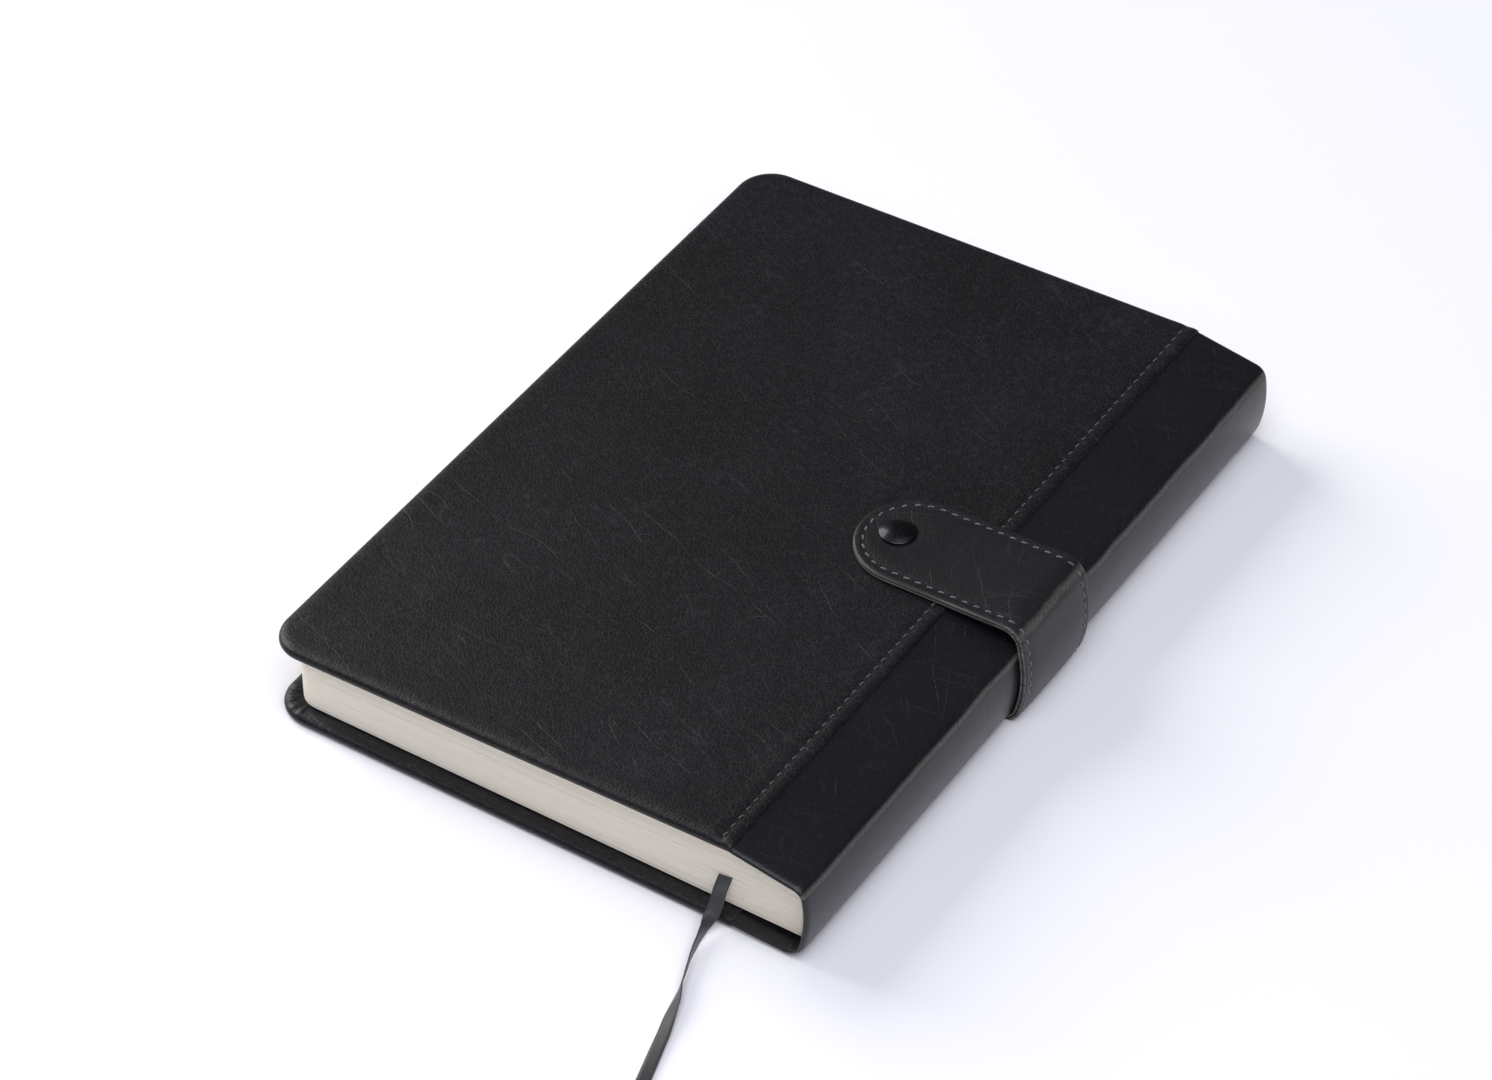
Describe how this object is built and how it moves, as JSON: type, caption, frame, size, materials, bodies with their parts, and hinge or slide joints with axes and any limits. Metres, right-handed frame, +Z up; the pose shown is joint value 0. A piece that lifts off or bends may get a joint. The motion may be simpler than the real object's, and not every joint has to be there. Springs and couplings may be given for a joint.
{
  "type": "leather notebook cover",
  "caption": "Padded leather case for a bound notebook: two covers, a wrap-round spine, text block, marker ribbon and a strap that snaps on to the front cover.",
  "frame": {"origin": "middle of the underside, on the surface that the closed book lies on", "axes": "+X from the fore-edge to the spine, +Y from the tail to the head, +Z up through the closed book to the front cover"},
  "size_m": [0.1532, 0.2868, 0.0304],
  "materials": {
    "panel_leather": "matte grained, fine crackle",
    "smooth_leather": "satin, nearly smooth",
    "strap_lining": "satin",
    "seam_thread": "twisted thread",
    "strap_thread": "twisted thread",
    "foam": "soft foam",
    "board": "grey board",
    "liner_card": "card",
    "endpaper": "uncoated black paper",
    "page_paper": "uncoated cream paper",
    "spine_mull": "open weave",
    "ribbon": "ribbed satin",
    "gunmetal": "glossy black nickel",
    "snap_steel": "plain"
  },
  "bodies": {
    "back_cover": {"back_leather": "panel_leather", "back_seam_thread": "seam_thread", "back_foam": "foam", "back_board": "board", "back_pastedown": "endpaper", "back_flyleaf": "endpaper", "back_hinge_liner": "liner_card", "rear_signature_1": "page_paper", "rear_signature_2": "page_paper", "rear_signature_3": "page_paper", "rear_signature_4": "page_paper", "rear_signature_5": "page_paper", "rear_signature_6": "page_paper", "rear_spine_lining": "spine_mull", "ribbon_inside": "ribbon", "marker_ribbon": "ribbon"},
    "spine": {"spine_leather": "smooth_leather", "spine_stiffener": "liner_card", "strap_band_lining": "strap_lining", "strap_band_leather": "smooth_leather"},
    "front_pages": {"front_flyleaf": "endpaper", "front_signature_1": "page_paper", "front_signature_2": "page_paper", "front_signature_3": "page_paper", "front_signature_4": "page_paper", "front_signature_5": "page_paper", "front_signature_6": "page_paper", "front_spine_lining": "spine_mull"},
    "front_cover": {"front_leather": "panel_leather", "front_seam_thread": "seam_thread", "front_foam": "foam", "front_board": "board", "front_pastedown": "endpaper", "front_hinge_liner": "liner_card", "snap_stud": "snap_steel", "snap_post": "snap_steel"},
    "strap_flap": {"strap_flap_lining": "strap_lining", "strap_flap_core": "board", "strap_flap_leather": "smooth_leather", "strap_thread": "strap_thread", "snap_cap": "gunmetal", "snap_socket": "snap_steel"}
  },
  "joints": [
    {"name": "pages_open", "type": "hinge", "parent": "back_cover", "child": "front_pages", "pos_m": [0.07289, 0, 0.01376], "axis": [0, 1, 0], "range_deg": [0, 168]},
    {"name": "spine_fold", "type": "hinge", "parent": "back_cover", "child": "spine", "pos_m": [0.07331, 0, 0.00448], "axis": [0, 1, 0], "range_deg": [0, 75], "deforming": ["spine_leather", "strap_band_lining", "strap_band_leather"]},
    {"name": "cover_fold", "type": "hinge", "parent": "spine", "child": "front_cover", "pos_m": [0.07399, 0, 0.02002], "axis": [0, 1, 0], "range_deg": [0, 101], "deforming": ["spine_leather", "strap_band_lining", "strap_band_leather"]},
    {"name": "strap_open", "type": "hinge", "parent": "front_cover", "child": "strap_flap", "pos_m": [0.06925, 0, 0.02967], "axis": [0, 1, 0], "range_deg": [0, 150]}
  ],
  "couplings": [
    {"joint": "spine_fold", "follows": "pages_open", "ratio": 0.44643},
    {"joint": "cover_fold", "follows": "pages_open", "ratio": 0.60119}
  ]
}
